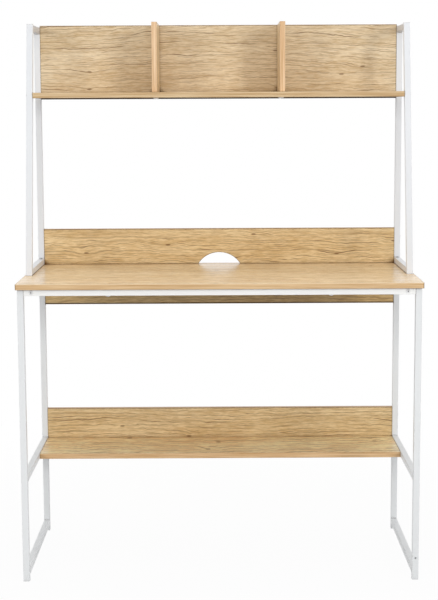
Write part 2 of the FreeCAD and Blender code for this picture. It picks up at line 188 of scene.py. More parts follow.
# Oak print, with the grain along X
CLOUDS = Layer((2.2, 9.0, 9.0), 3.0, 0.6, 0.32, 0.68)
STREAKS = Layer((3.0, 44.0, 44.0), 4.0, 0.65, 0.32, 0.68)
FIBRES = Layer((48.0, 330.0, 330.0), 3.0, 0.65, 0.3, 0.7)
FLECKS = Layer((34.0, 190.0, 190.0), 2.0, 0.6, 0.35, 0.7)
PORES = Layer((60.0, 700.0, 700.0), 1.0, 0.5, 0.58, 0.72)
RINGS = GrainRows(0.0095, 0.13, 11.0, 0.38, 0.62)
HAIRS = GrainRows(0.0046, 0.17, 24.0, 0.36, 0.6)
CRACKS = GrainRows(0.026, 0.045, 5.0, 0.54, 0.64)
STAVE_CYCLES = (0.0, 9.0, 9.0)
# Grain lines: share of the width that is fully dark, lot at which a line vanishes, moves across its row
LINE_CORE_SHARE = 0.25
VANISHING_LOT = -0.6
LINE_MOVES = {"lot": 0.4, "wobble": 0.6}
# Cycles per change along a line, per row and per kind of line
WOBBLE_CYCLES = (1.2, 0.37, 1.0)
GAP_CYCLES = (1.0, 0.71, 1.3)
# Knots: cells per metre, the share of cells without one, and distances in cells
KNOT_CELLS = (4.4, 13.0, 0.0)
KNOTLESS_SHARE = 0.66
KNOT_REACH = 0.3
KNOT_RIM = 0.04
KNOT_CORE = 0.015
# Sideways shift of the grain: slow wander, small ripples, and metres of bend round a knot
WANDER = Sway((1.5, 6.0, 6.0), 0.5, 0.034)
RIPPLE = Sway((19.0, 26.0, 26.0), 0.6, 0.0056)
KNOT_BEND = 0.0034
# What each part of the print adds to the tone, the dark lines, the roughness and the height
TONE_START = -0.43
TONE_SHARES = {"clouds": 0.36, "staves": 0.15, "streaks": 0.5, "fibres": 0.5, "flecks": 0.42}
DARK_SHARES = {"cracks": 0.9, "rings": 0.48, "hairs": 0.55, "pores": 0.14, "knots": 0.55}
DARKEST = 0.9
ROUGH_SHARES = {"cracks": 0.15, "streaks": 0.05}
HEIGHT_SHARES = {"threads": 0.3, "cracks": -1.0, "hairs": -0.4, "pores": -0.5}

# Laminate: its backing paper, the painted shade in its creases and its refraction
BACKING_PULP = Layer((90.0, 90.0, 90.0), 4.0, 0.65, 0.0, 1.0)
BACKING_SHADE = 0.3
CREASE_SHADE_SHARE = 0.45
LAMINATE_IOR = 1.45
# Edge bands: cycles per metre across and along the lines, and the share of each kind of line
BAND_LINES = ((420.0, 7.0, 0.9), (120.0, 3.0, 0.4))
BAND_DETAIL = 3.0
BAND_ROUGHNESS = 0.6
BAND_START = -0.15
BAND_RANGE = (0.32, 0.68)
# Share of painted shade in the bands' creases, and the share of all painted shade and joint lines that shows
BAND_CREASE_SHADE_SHARE = 0.6
BAND_SHADE_SHARE = 0.8
BAND_SATIN = 0.34
BAND_DULLING = 0.12
# A face counts as pointing one way along an axis past this part of its normal
FACING_LIMIT = 0.5

# Worn edges, and painted shade in creases and corners
BEVEL_SAMPLES = 4
EDGE_LIKENESS = (0.998, 0.9)
RUB_PATCHES = Layer((35.0, 35.0, 35.0), 3.0, 0.5, 0.42, 0.6)
OCCLUSION_SAMPLES = 8
CREASE_OPENNESS = (0.8, 0.4)
CORNER_OPENNESS = (0.6, 0.3)
# Paint, plastic and steel: slow tone, smudges, fine grain per metre, and shares
SLOW_TONE = Layer((3.0, 3.0, 3.0), 3.0, 0.5, 0.3, 0.7)
SMUDGES = Layer((14.0, 14.0, 9.0), 4.0, 0.6, 0.45, 0.75)
TUBE_GRAIN = 700.0
SCREW_GRAIN = 1800.0
PLASTIC_GRAIN = 2600.0
STEEL_GRAIN = 1500.0
STEEL_SCRATCHES = (2500.0, 2500.0, 200.0)
TUBE_SATIN = 0.36
SCREW_SATIN = 0.3
PLASTIC_SATIN = 0.48
STEEL_SATIN = 0.3
SMUDGE_DULLING = 0.1
STEEL_DULLING = 0.2
PAINT_SHADE = 0.035
PLASTIC_SHADE = 0.06
STEEL_SHADE = 0.35
RUB_SHARE = 0.5
RUB_GAIN = 1.06
# Bumps: strength, and height in metres
OAK_BUMP = (0.1, 0.0003)
BAND_BUMP = (0.2, 0.0002)
PAINT_BUMP = (0.08, 0.00005)
PLASTIC_BUMP = (0.3, 0.0001)
STEEL_BUMP = (0.2, 0.0001)

WHITE = (1.0, 1.0, 1.0, 1.0)
FLOOR_SEGMENTS = 4


def linear(red, green, blue):
    """A colour given in screen values from 0 to 255, as scene-linear numbers."""
    shares = (value / 255 for value in (red, green, blue))
    return tuple(s / 12.92 if s <= 0.04045 else ((s + 0.055) / 1.055) ** 2.4 for s in shares)


# Kinds of property
def colour_property(name, description, default):
    return FloatVectorProperty(
        name=name, description=description, subtype="COLOR", size=3, min=0.0, max=1.0, default=default
    )


def length_property(name, description, default):
    return FloatProperty(
        name=name, description=description, subtype="DISTANCE", unit="LENGTH", min=0.0, default=default
    )


def share_property(name, description, default):
    return FloatProperty(
        name=name, description=description, subtype="FACTOR", min=0.0, max=1.0, default=default
    )


def angle_property(name, description, default):
    return FloatProperty(name=name, description=description, subtype="ANGLE", default=default)


def film_property(name, description, default):
    return FloatProperty(
        name=name, description=description, subtype="DISTANCE_CAMERA", unit="CAMERA", min=1.0, default=default
    )


def power_property(name, description, default):
    return FloatProperty(name=name, description=description, subtype="POWER", min=0.0, default=default)


def count_property(name, description, least, default):
    return IntProperty(name=name, description=description, min=least, default=default)


# Properties
class BoardLooks(PropertyGroup):
    """Colours and sizes of the laminated boards and their edge bands."""

    oak_pale: colour_property("Pale oak", "Lightest ground of the oak print", linear(233, 210, 172))
    oak_mid: colour_property("Mid oak", "Darker clouds and streaks of the oak print", linear(205, 175, 130))
    oak_dark: colour_property("Dark oak", "Cracks, pores and knots of the oak print", linear(114, 78, 40))
    # Backing: the backing paper's colour, darkened as painted shade; it also colours the glue lines and the
    # painted shadow strip
    backing: colour_property("Backing", "Plain backing paper on the undersides", linear(64, 46, 27))
    band_pale: colour_property("Pale band", "Ground of the edge bands", linear(240, 206, 164))
    band_dark: colour_property("Dark band", "Fine lines of the edge bands", linear(204, 162, 114))
    # Band rub: the colour of a painted highlight along the desktop band's top edge
    band_highlight: colour_property("Band rub", "Edge bands where their corners are rubbed", linear(252, 226, 190))
    desktop_satin: share_property("Desktop satin", "Roughness of the desktop's laminate", 0.2)
    board_satin: share_property("Board satin", "Roughness of the other boards' laminate", 0.28)
    raw_matt: share_property("Raw matt", "Roughness of the raw undersides", 0.95)
    # The framed joint's glue line is also painted shade in the gaps beside the posts; the open joint darkens
    # the other boards' edges with the glue line
    framed_glue_and_shade: share_property("Framed joint", "Dirt in the edges of panels between the posts", 1.0)
    open_joint: share_property("Open joint", "Dirt in the edges of the other boards", 0.3)
    glue_line: length_property("Glue line", "Width of the dark line where a sawn edge begins", 0.003)
    # Stain: the height of a painted shadow strip at the raw lower edge of a hanging board
    shadow_strip: length_property("Stain", "Height of the stained strip at a board's raw lower edge", 0.0032)
    # The crease and corner reaches set how far the painted shade in creases and in corners of three sides
    # reaches
    crease_reach: length_property("Crease reach", "How far from a crease its dust reaches", 0.007)
    corner_reach: length_property("Corner reach", "How far dirt reaches from a corner of three sides", 0.02)
    band_ease: length_property("Band ease", "Radius that rounds the edge bands", 0.002)
    # Band joint: the dark line at the front band's ends, where the bands meet, is partly a joint and partly
    # painted shade of the side bands
    band_joint: length_property("Band joint", "Width of the dark line where two bands meet", 0.0022)
    # Arris: the height of the painted highlight along the desktop's top front edge
    highlight_strip: length_property("Arris", "Height of the rubbed strip along the desktop's front", 0.0022)
    notch_width: length_property("Notch width", "Width of the cable notch at the desktop", 0.116)
    notch_height: length_property("Notch height", "Height of the cable notch", 0.032)
    notch_lining: length_property("Notch lining", "Thickness of the band that lines the notch", 0.0004)
    notch_steps: count_property("Notch steps", "Segments of the lining's arc", 8, 40)


class FrameLooks(PropertyGroup):
    """Colours and sizes of the tube frame, its plugs and fasteners."""

    paint: colour_property("Powder coat", "Colour of the painted leg frames", linear(231, 233, 234))
    # The hutch coat's darkening and the top rail coat are painted shade on the same powder coat
    hutch_paint_and_shade: colour_property("Hutch coat", "Colour of the painted hutch posts", linear(227, 229, 232))
    rail_shaded_paint: colour_property("Top rail coat", "Colour of the hutch's top rails", linear(205, 206, 209))
    # Crossbar coat: a lighter copy of the powder coat that paints light under the desktop's overhang
    bar_lit_paint: colour_property("Crossbar coat", "Colour of the painted crossbar", linear(250, 250, 248))
    # Grime: the colour of the painted shade in the frame's creases and corners
    crease_shade_colour: colour_property("Grime", "Colour of the dust in the frame's corners", linear(104, 92, 80))
    frame_shade_reach: length_property("Grime reach", "How far from a corner of the frame its dust reaches", 0.005)
    plastic: colour_property("Plastic", "Colour of the feet and the post caps", linear(222, 223, 224))
    screw_paint: colour_property("Screw paint", "Colour of the painted screw heads", linear(238, 238, 238))
    # Socket: the dark in the screw heads' sockets is painted shade
    socket: colour_property("Socket", "Colour of the bare sockets in the painted heads", linear(92, 90, 88))
    socket_shade_reach: length_property("Socket reach", "Depth at which a socket turns dark", 0.004)
    steel: colour_property("Plated steel", "Colour of the plated bolts and nuts", linear(186, 187, 190))
    tube_ease: length_property("Tube ease", "Radius that softens edges of metal and plastic", 0.0005)
    corner_radius: length_property("Corner radius", "Rounding of the tubes' long edges", 0.0015)
    weld_leg: length_property("Weld leg", "Height of a weld bead on each tube", 0.0022)
    weld_ripples: count_property("Weld ripples", "Ripples along one weld bead", 1, 7)


class StudioLooks(PropertyGroup):
    """Camera, floor and light of the studio."""

    camera_place: FloatVectorProperty(
        name="Camera place", description="Where the camera stands", subtype="XYZ", unit="LENGTH", size=3,
        default=(-0.0044, -3.7416, 1.1822),
    )
    camera_pitch: angle_property("Camera pitch", "Angle that the camera looks down", 0.133)
    camera_yaw: angle_property("Camera yaw", "Angle that the camera looks to the right", 0.0008)
    camera_roll: angle_property("Camera roll", "Lean of the camera about its own axis", -0.0046)
    camera_lens: film_property("Camera lens", "Focal length", 86.72)
    camera_film: film_property("Camera film", "Height of the film", 36.0)
    ambient: share_property("Ambient", "Strength of the even white light", 0.52)
    key_power: power_property("Key power", "Power of the softbox at the right", 105.0)
    fill_power: power_property("Fill power", "Power of the softbox at the left", 58.0)
    top_power: power_property("Top power", "Power of the softbox overhead", 33.0)
    high_power: power_property("High power", "Power of the softbox high in front", 12.0)
    side_power: power_property("Side power", "Power of each softbox at the sides", 9.0)
    back_power: power_property("Back power", "Power of each softbox behind", 34.0)
    floor_colour: colour_property("Floor colour", "Colour of the lit floor", (0.62, 0.62, 0.62))
    floor_matt: share_property("Floor matt", "Roughness of the floor", 0.9)
    floor_glow: share_property("Floor glow", "Share of plain white in the floor near the desk", 0.965)
    floor_near: length_property("Floor near", "Distance up to which the floor shows shadows in full", 0.6)
    floor_far: length_property("Floor far", "Distance from which the floor is plain white", 1.8)
    floor_size: length_property("Floor size", "Side of the square floor", 14.0)


# Shader node helpers
def feed(tree, node, inputs):
    """Set a node's inputs. Each is a constant or another node's output."""
    for name, given in inputs.items():
        if isinstance(given, NodeSocket):
            tree.links.new(given, node.inputs[name])
        else:
            node.inputs[name].default_value = given


def add(tree, kind, inputs=None, **settings):
    """Add a shader node with its settings and inputs."""
    made = tree.nodes.new("ShaderNode" + kind)
    for name, setting in settings.items():
        setattr(made, name, setting)
    feed(tree, made, inputs or {})
    return made


def calc(tree, operation, first, second=0.0, third=0.0):
    return add(tree, "Math", {0: first, 1: second, 2: third}, operation=operation).outputs[0]


def blend(tree, factor, first, second):
    """Mix two colours by a factor."""
    return add(tree, "Mix", {0: factor, 6: first, 7: second}, data_type="RGBA").outputs[2]


def ramp(tree, value, low, high, to_low=0.0, to_high=1.0):
    """Map a value smoothly from one range to another."""
    inputs = {"Value": value, "From Min": low, "From Max": high, "To Min": to_low, "To Max": to_high}
    return add(tree, "MapRange", inputs, interpolation_type="SMOOTHSTEP").outputs[0]


def stretch(tree, vector, scale):
    return add(tree, "VectorMath", {0: vector, 1: scale}, operation="MULTIPLY").outputs[0]


def split(tree, vector):
    """The X, Y and Z parts of a vector."""
    return add(tree, "SeparateXYZ", {0: vector}).outputs


def surface_place(tree):
    return add(tree, "TexCoord").outputs["Object"]


def surface_normal(tree):
    return add(tree, "NewGeometry").outputs["Normal"]


def noise(tree, vector, cycles, detail=2.0, roughness=0.5):
    """Noise on a stretched vector, with its cycles per metre along each axis."""
    inputs = {
        "Vector": stretch(tree, vector, cycles), "Scale": 1.0, "Detail": detail, "Roughness": roughness,
    }
    return add(tree, "TexNoise", inputs).outputs[0]


def layer_noise(tree, vector, layer):
    return noise(tree, vector, layer.cycles, layer.detail, layer.roughness)


def layer_mask(tree, vector, layer):
    return ramp(tree, layer_noise(tree, vector, layer), layer.low, layer.high)


def weigh(tree, start, shares, parts):
    """The start value plus each named part times its share."""
    total = start
    for name, share in shares.items():
        total = calc(tree, "MULTIPLY_ADD", parts[name], share, total)
    return total


def bump(tree, bump_size, height, normal):
    """A normal that follows a height, on top of another normal."""
    strength, distance = bump_size
    inputs = {"Strength": strength, "Distance": distance, "Height": height, "Normal": normal}
    return add(tree, "Bump", inputs).outputs[0]


def new_group(name, inputs, outputs):
    """An empty shader node group, the outputs of its input node and the inputs of its output node."""
    tree = bpy.data.node_groups.new(name, "ShaderNodeTree")
    for label, kind in inputs.items():
        tree.interface.new_socket(name=label, in_out="INPUT", socket_type="NodeSocket" + kind)
    for label, kind in outputs.items():
        tree.interface.new_socket(name=label, in_out="OUTPUT", socket_type="NodeSocket" + kind)
    return tree, tree.nodes.new("NodeGroupInput").outputs, tree.nodes.new("NodeGroupOutput").inputs


def fill_outputs(tree, sinks, results):
    for name, socket in results.items():
        tree.links.new(socket, sinks[name])


def use_group(tree, name, build, inputs):
    """Place the group of that name in a material. The group is built on first use."""
    made = tree.nodes.new("ShaderNodeGroup")
    made.node_tree = bpy.data.node_groups.get(name) or build(name)
    feed(tree, made, inputs)
    return made.outputs


# Shared effects
def grain_lines(tree, bent, rows):
    """Rows of thin lines along the grain. Each line has its own place, strength and gaps."""
    turned = split(tree, bent)
    across = calc(tree, "DIVIDE", calc(tree, "ADD", turned["Y"], turned["Z"]), rows.pitch)
    row = calc(tree, "FLOOR", across)
    seed = calc(tree, "ADD", row, rows.changes)
    drawn = add(tree, "TexWhiteNoise", {"W": seed}, noise_dimensions="1D").outputs["Color"]
    lots = add(tree, "SeparateColor", {0: drawn}).outputs
    track = add(tree, "CombineXYZ", {"X": turned["X"], "Y": row, "Z": rows.changes}).outputs[0]

    def along_line(cycles):
        """Noise along each line, with its first cycles counted in the line's changes."""
        return noise(tree, track, (cycles[0] * rows.changes, *cycles[1:]))

    moves = {"lot": lots[0], "wobble": along_line(WOBBLE_CYCLES)}
    middle = weigh(tree, 0.0, LINE_MOVES, moves)
    apart = calc(tree, "ABSOLUTE", calc(tree, "SUBTRACT", calc(tree, "FRACT", across), middle))
    line = ramp(tree, apart, rows.width, rows.width * LINE_CORE_SHARE)
    line = calc(tree, "MULTIPLY", line, ramp(tree, lots[1], VANISHING_LOT, 1.0))
    return calc(tree, "MULTIPLY", line, ramp(tree, along_line(GAP_CYCLES), rows.low, rows.high))


def build_oak_figure(name):
    """Oak print along X: clouds, staves, streaks, flecks, wavy grain lines, cracks, knots and pores."""
    inputs = {"Vector": "Vector", "Strength": "Float", "Satin": "Float"}
    colours = {"Pale": "Color", "Mid": "Color", "Dark": "Color"}
    outputs = {"Color": "Color", "Roughness": "Float", "Height": "Float"}
    tree, given, sinks = new_group(name, {**inputs, **colours}, outputs)
    place = given["Vector"]
    # Knots in a few cells only
    flat = split(tree, place)
    face = {"X": flat["X"], "Y": calc(tree, "ADD", flat["Y"], flat["Z"])}
    sheet = stretch(tree, add(tree, "CombineXYZ", face).outputs[0], KNOT_CELLS)
    cells = add(tree, "TexVoronoi", {"Vector": sheet, "Scale": 1.0}, voronoi_dimensions="2D").outputs
    lot = add(tree, "SeparateColor", {0: cells["Color"]}).outputs[0]
    chosen = calc(tree, "GREATER_THAN", lot, KNOTLESS_SHARE)
    knot_reach = calc(tree, "MULTIPLY", ramp(tree, cells["Distance"], KNOT_REACH, 0.0), chosen)
    knots = calc(tree, "MULTIPLY", ramp(tree, cells["Distance"], KNOT_RIM, KNOT_CORE), chosen)
    # The grain wanders slowly, ripples a little and bends round the knots
    shift = calc(tree, "MULTIPLY", knot_reach, KNOT_BEND)
    for sway in (WANDER, RIPPLE):
        drift = noise(tree, place, sway.cycles, roughness=sway.roughness)
        drift = calc(tree, "MULTIPLY_ADD", drift, sway.reach, -sway.reach / 2)
        shift = calc(tree, "ADD", shift, drift)
    offset = add(tree, "CombineXYZ", {"Y": shift, "Z": shift}).outputs[0]
    bent = add(tree, "VectorMath", {0: place, 1: offset}).outputs[0]
    # Parts of the print
    staves = add(tree, "VectorMath", {0: stretch(tree, bent, STAVE_CYCLES)}, operation="FLOOR").outputs[0]
    threads = layer_noise(tree, bent, FIBRES)
    parts = {
        "knots": knots,
        "clouds": layer_mask(tree, place, CLOUDS),
        "staves": add(tree, "TexWhiteNoise", {"Vector": staves}, noise_dimensions="3D").outputs[0],
        "streaks": layer_mask(tree, bent, STREAKS),
        "flecks": layer_mask(tree, bent, FLECKS),
        "pores": layer_mask(tree, bent, PORES),
        "threads": threads,
        "fibres": ramp(tree, threads, FIBRES.low, FIBRES.high),
        "rings": grain_lines(tree, bent, RINGS),
        "hairs": grain_lines(tree, bent, HAIRS),
        "cracks": grain_lines(tree, bent, CRACKS),
    }
    ground = blend(tree, weigh(tree, TONE_START, TONE_SHARES, parts), given["Pale"], given["Mid"])
    dark = calc(tree, "MULTIPLY", weigh(tree, 0.0, DARK_SHARES, parts), given["Strength"])
    colour = blend(tree, calc(tree, "MINIMUM", dark, DARKEST), ground, given["Dark"])
    rough = weigh(tree, given["Satin"], ROUGH_SHARES, parts)
    height = weigh(tree, 0.0, HEIGHT_SHARES, parts)
    fill_outputs(tree, sinks, {"Color": colour, "Roughness": rough, "Height": height})
    return tree


def build_soft_edge(name):
    """A normal that rounds the edges, a mask of the edges, and a mask of where they are rubbed."""
    outputs = {"Normal": "Vector", "Edge": "Float", "Rub": "Float"}
    tree, given, sinks = new_group(name, {"Radius": "Float"}, outputs)
    soft = add(tree, "Bevel", {"Radius": given["Radius"]}, samples=BEVEL_SAMPLES).outputs[0]
    sides = {0: soft, 1: surface_normal(tree)}
    likeness = add(tree, "VectorMath", sides, operation="DOT_PRODUCT").outputs["Value"]
    edge = ramp(tree, likeness, *EDGE_LIKENESS)
    rub = calc(tree, "MULTIPLY", edge, layer_mask(tree, surface_place(tree), RUB_PATCHES))
    fill_outputs(tree, sinks, {"Normal": soft, "Edge": edge, "Rub": rub})
    return tree


def build_crease(name):
    """Masks of creases and sockets, and of corners where three sides meet, from ambient occlusion: painted
    shade.
    """
    tree, given, sinks = new_group(name, {"Reach": "Float"}, {"Crease": "Float", "Corner": "Float"})
    reach = {"Distance": given["Reach"]}
    openness = add(tree, "AmbientOcclusion", reach, samples=OCCLUSION_SAMPLES).outputs["AO"]
    crease = ramp(tree, openness, *CREASE_OPENNESS)
    corner = ramp(tree, openness, *CORNER_OPENNESS)
    fill_outputs(tree, sinks, {"Crease": crease, "Corner": corner})
    return tree


def build_even_tone(name):
    """Slow changes of tone over a large surface, smudges, and a fine surface grain."""
    outputs = {"Tone": "Float", "Grain Height": "Float", "Smudge": "Float"}
    tree, given, sinks = new_group(name, {"Grain": "Float"}, outputs)
    place = surface_place(tree)
    tone = layer_mask(tree, place, SLOW_TONE)
    grain = add(tree, "TexNoise", {"Vector": place, "Scale": given["Grain"]}).outputs[0]
    smudge = layer_mask(tree, place, SMUDGES)
    fill_outputs(tree, sinks, {"Tone": tone, "Grain Height": grain, "Smudge": smudge})
    return tree


def soft_edge(tree, radius):
    return use_group(tree, "Soft edge", build_soft_edge, {"Radius": radius})


def crease_masks(tree, reach):
    return use_group(tree, "Crease", build_crease, {"Reach": reach})


def even_tone(tree, grain):
    return use_group(tree, "Even tone", build_even_tone, {"Grain": grain})


# Materials
def new_material(name):
    material = bpy.data.materials.new(name)
    material.use_nodes = True
    return material, material.node_tree, material.node_tree.nodes["Principled BSDF"]


def connect(tree, shader, **sockets):
    for name, socket in sockets.items():
        tree.links.new(socket, shader.inputs[name.replace("_", " ").title()])


def colour4(colour):
    return (*colour, 1.0)


def darker(tree, colour, factor, share):
    """The colour, darkened by a share where the factor is 1."""
    shade = tuple(value * (1 - share) for value in colour)
    return blend(tree, factor, colour4(colour), colour4(shade))


def tinted(colour, tint):
    return colour4(min(1.0, value * share) for value, share in zip(colour, tint))


def oak_laminate(name, board, looks, satin, joint, raw_edge=None):
    """Satin oak-look laminate with its grain along one axis.

    The joint is the share of the dark glue line in the edges, which on the framed panels is also painted
    shade beside the posts. A raw lower edge at a given height gets a painted shadow strip.
    """
    material, tree, shader = new_material(name)
    place = surface_place(tree)
    mapping = {
        "Vector": place,
        "Location": tuple(board.cut * step for step in CUT_STEP),
        "Rotation": GRAIN_TURNS[board.grain],
        "Scale": (1.0, 1.0 / board.spread, 1.0),
    }
    dark = tinted(looks.oak_dark, board.tint)
    print_inputs = {
        "Vector": add(tree, "Mapping", mapping).outputs[0],
        "Strength": board.strength,
        "Satin": satin,
        "Pale": tinted(looks.oak_pale, board.tint),
        "Mid": tinted(looks.oak_mid, board.tint),
        "Dark": dark,
    }
    figure = use_group(tree, "Oak figure", build_oak_figure, print_inputs)
    # A dark glue line where a sawn edge begins, also painted shade beside the posts on the framed panels
    edge = soft_edge(tree, looks.glue_line)
    line = calc(tree, "MULTIPLY", edge["Edge"], joint)
    colour = blend(tree, line, figure["Color"], colour4(looks.backing))
    # Backing paper on the underside, darkened as painted shade, and a painted shadow strip at a raw lower
    # edge
    raw = calc(tree, "LESS_THAN", split(tree, surface_normal(tree))["Z"], -FACING_LIMIT)
    if raw_edge is not None:
        height = split(tree, place)["Z"]
        shadowed = ramp(tree, height, raw_edge + looks.shadow_strip, raw_edge + looks.shadow_strip / 2)
        raw = calc(tree, "MAXIMUM", raw, shadowed)
    pulp = layer_noise(tree, place, BACKING_PULP)
    colour = blend(tree, raw, colour, darker(tree, looks.backing, pulp, BACKING_SHADE))
    rough = calc(tree, "MAXIMUM", figure["Roughness"], calc(tree, "MULTIPLY", raw, looks.raw_matt))
    # Painted shade in the creases, and where three sides meet
    crease_shade = calc(tree, "MULTIPLY", crease_masks(tree, looks.crease_reach)["Crease"], CREASE_SHADE_SHARE)
    painted_shade = calc(tree, "MAXIMUM", crease_shade, crease_masks(tree, looks.corner_reach)["Corner"])
    colour = blend(tree, painted_shade, colour, dark)
    normal = bump(tree, OAK_BUMP, figure["Height"], edge["Normal"])
    connect(tree, shader, base_color=colour, roughness=rough, normal=normal)
    shader.inputs["IOR"].default_value = LAMINATE_IOR
    return material


def edge_band(name, across, tint, looks, highlight_corner=None):
    """Edge band with fine lines along its length.

    Bands with a highlight corner, which is their highest point, get a painted highlight at the top and a dark
    line where they meet, partly joint and partly painted shade.
    """
    material, tree, shader = new_material(name)
    place = surface_place(tree)
    lines = BAND_START
    for crowded, sparse, share in BAND_LINES:
        cycles = tuple(crowded if axis == across else sparse for axis in "XYZ")
        marks = noise(tree, place, cycles, BAND_DETAIL, BAND_ROUGHNESS)
        lines = calc(tree, "MULTIPLY_ADD", marks, share, lines)
    pale, dark = (tinted(colour, tint) for colour in (looks.band_pale, looks.band_dark))
    colour = blend(tree, ramp(tree, lines, *BAND_RANGE), pale, dark)
    # Painted shade in the band's creases
    painted_shade = calc(tree, "MULTIPLY", crease_masks(tree, looks.crease_reach)["Crease"], BAND_CREASE_SHADE_SHARE)
    if highlight_corner is not None:
        where = split(tree, place)
        # A painted highlight along the band's top edge
        top = ramp(tree, where["Z"], highlight_corner.z - looks.highlight_strip, highlight_corner.z - looks.highlight_strip / 2)
        colour = blend(tree, top, colour, tinted(looks.band_highlight, tint))
        # A dark line at the front band's ends where the bands meet: partly a joint, partly painted shade of
        # the side bands
        front = calc(tree, "LESS_THAN", split(tree, surface_normal(tree))["Y"], -FACING_LIMIT)
        outward = calc(tree, "ABSOLUTE", where["X"])
        end = ramp(tree, outward, highlight_corner.x - looks.band_joint, highlight_corner.x - looks.band_joint / 2)
        painted_shade = calc(tree, "MAXIMUM", painted_shade, calc(tree, "MULTIPLY", front, end))
    colour = blend(tree, calc(tree, "MULTIPLY", painted_shade, BAND_SHADE_SHARE), colour, colour4(looks.oak_dark))
    rough = calc(tree, "MULTIPLY_ADD", lines, BAND_DULLING, BAND_SATIN)
    normal = bump(tree, BAND_BUMP, lines, soft_edge(tree, looks.band_ease)["Normal"])
    connect(tree, shader, base_color=colour, roughness=rough, normal=normal)
    return material


def powder_coat(name, colour, ease, crease_shade_colour, reach, grain=TUBE_GRAIN, satin=TUBE_SATIN):
    """Satin paint with a fine orange-peel surface, paler on rubbed edges, with painted shade in corners and
    sockets.
    """
    material, tree, shader = new_material(name)
    even = even_tone(tree, grain)
    edge = soft_edge(tree, ease)
    base = darker(tree, colour, even["Tone"], PAINT_SHADE)
    paler = tuple(min(1.0, value * RUB_GAIN) for value in colour)
    base = blend(tree, calc(tree, "MULTIPLY", edge["Rub"], RUB_SHARE), base, colour4(paler))
    # Painted shade in the corners and sockets
    base = blend(tree, crease_masks(tree, reach)["Crease"], base, colour4(crease_shade_colour))
    rough = calc(tree, "MULTIPLY_ADD", even["Smudge"], SMUDGE_DULLING, satin)
    normal = bump(tree, PAINT_BUMP, even["Grain Height"], edge["Normal"])
    connect(tree, shader, base_color=base, roughness=rough, normal=normal)
    return material


def moulded_plastic(name, colour, ease):
    """Matt moulded plastic with a fine spark-eroded grain."""
    material, tree, shader = new_material(name)
    even = even_tone(tree, PLASTIC_GRAIN)
    base = darker(tree, colour, even["Smudge"], PLASTIC_SHADE)
    rough = calc(tree, "MULTIPLY_ADD", even["Smudge"], SMUDGE_DULLING, PLASTIC_SATIN)
    normal = bump(tree, PLASTIC_BUMP, even["Grain Height"], soft_edge(tree, ease)["Normal"])
    connect(tree, shader, base_color=base, roughness=rough, normal=normal)
    return material


def plated_steel(name, colour, ease):
    """Zinc-plated steel with fine scratches and dull patches."""
    material, tree, shader = new_material(name)
    even = even_tone(tree, STEEL_GRAIN)
    base = darker(tree, colour, even["Smudge"], STEEL_SHADE)
    rough = calc(tree, "MULTIPLY_ADD", even["Smudge"], STEEL_DULLING, STEEL_SATIN)
    scratches = noise(tree, surface_place(tree), STEEL_SCRATCHES)
    normal = bump(tree, STEEL_BUMP, scratches, soft_edge(tree, ease)["Normal"])
    connect(tree, shader, base_color=base, roughness=rough, normal=normal)
    shader.inputs["Metallic"].default_value = 1.0
    return material


# Pieces
def dress(node, material):
    """Give a CAD node its material."""
    node_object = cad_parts[node]
    if node_object.material_slots:
        node_object.material_slots[0].material = material
    else:
        node_object.data.materials.append(material)


def dress_sides(names, material):
    """Give the nodes of those names their material, on both sides of the desk."""
    for side in SIDES:
        for name in names:
            dress(f"{side}_{name}", material)


def link_mesh(name, built, material):
    """An object of that name in the scene, with the mesh that was built."""
    mesh = bpy.data.meshes.new(name)
    built.to_mesh(mesh)
    built.free()
    mesh.materials.append(material)
    made = bpy.data.objects.new(name, mesh)
    bpy.context.scene.collection.objects.link(made)
    return made


def add_piece(name, built, material):
    """A new smooth piece that rides on the desk."""
    bmesh.ops.recalc_face_normals(built, faces=built.faces[:])
    piece = link_mesh(name, built, material)
    piece.data.shade_smooth()
    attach(piece, BODY)


def sweep(built, sections):
    """A closed solid through a row of sections with the same number of points."""
    rows = [[built.verts.new(point) for point in section] for section in sections]
    for row, following in zip(rows, rows[1:]):
        count = len(row)
        for index in range(count):
            after = (index + 1) % count
            built.faces.new((row[index], row[after], following[after], following[index]))
    built.faces.new(rows[0])
    built.faces.new(rows[-1])


def weld_bead(built, start, length, along_rail, along_upright, looks):
    """A rippled fillet of weld along X, in the corner between a rail and an upright."""
    steps = looks.weld_ripples * RIPPLE_STEPS
    sections = []
    for step in range(steps + 1):
        share = step / steps
        ripple = 1 + RIPPLE_SHARE * math.cos(2 * math.pi * looks.weld_ripples * share)
        taper = min(1.0, BEAD_END_SHARE + BEAD_SWELL * min(share, 1 - share))
        leg = looks.weld_leg * ripple * taper
        corner = start + Vector((share * length, 0, 0))
        section = [corner]
        for turn in range(RIM_STEPS + 1):
            angle = RIGHT_ANGLE * turn / RIM_STEPS
            reach = leg * (1 - HOLLOW_SHARE * math.sin(2 * angle))
            section.append(corner + reach * (math.cos(angle) * along_rail + math.sin(angle) * along_upright))
        sections.append(section)
    sweep(built, sections)


# Operators
class DESK_OT_boards(Operator):
    """Give the boards their oak laminate and the sawn edges their bands"""

    bl_idname = "desk.boards"
    bl_label = "Boards"

    def execute(self, context):
        looks = context.scene.desk_boards
        for node, board in BOARDS.items():
            satin = looks.desktop_satin if node == "desktop" else looks.board_satin
            joint = looks.framed_glue_and_shade if node in FRAMED_BOARDS else looks.open_joint
            raw_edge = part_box(node)[0].z if node in HANGING_BOARDS else None
            dress(node, oak_laminate("oak_" + node, board, looks, satin, joint, raw_edge))
        for node, (across, tint) in BANDS.items():
            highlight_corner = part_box(node)[1] if node == "desktop_edge_bands" else None
            dress(node, edge_band("finish_" + node, across, tint, looks, highlight_corner))
        return {"FINISHED"}


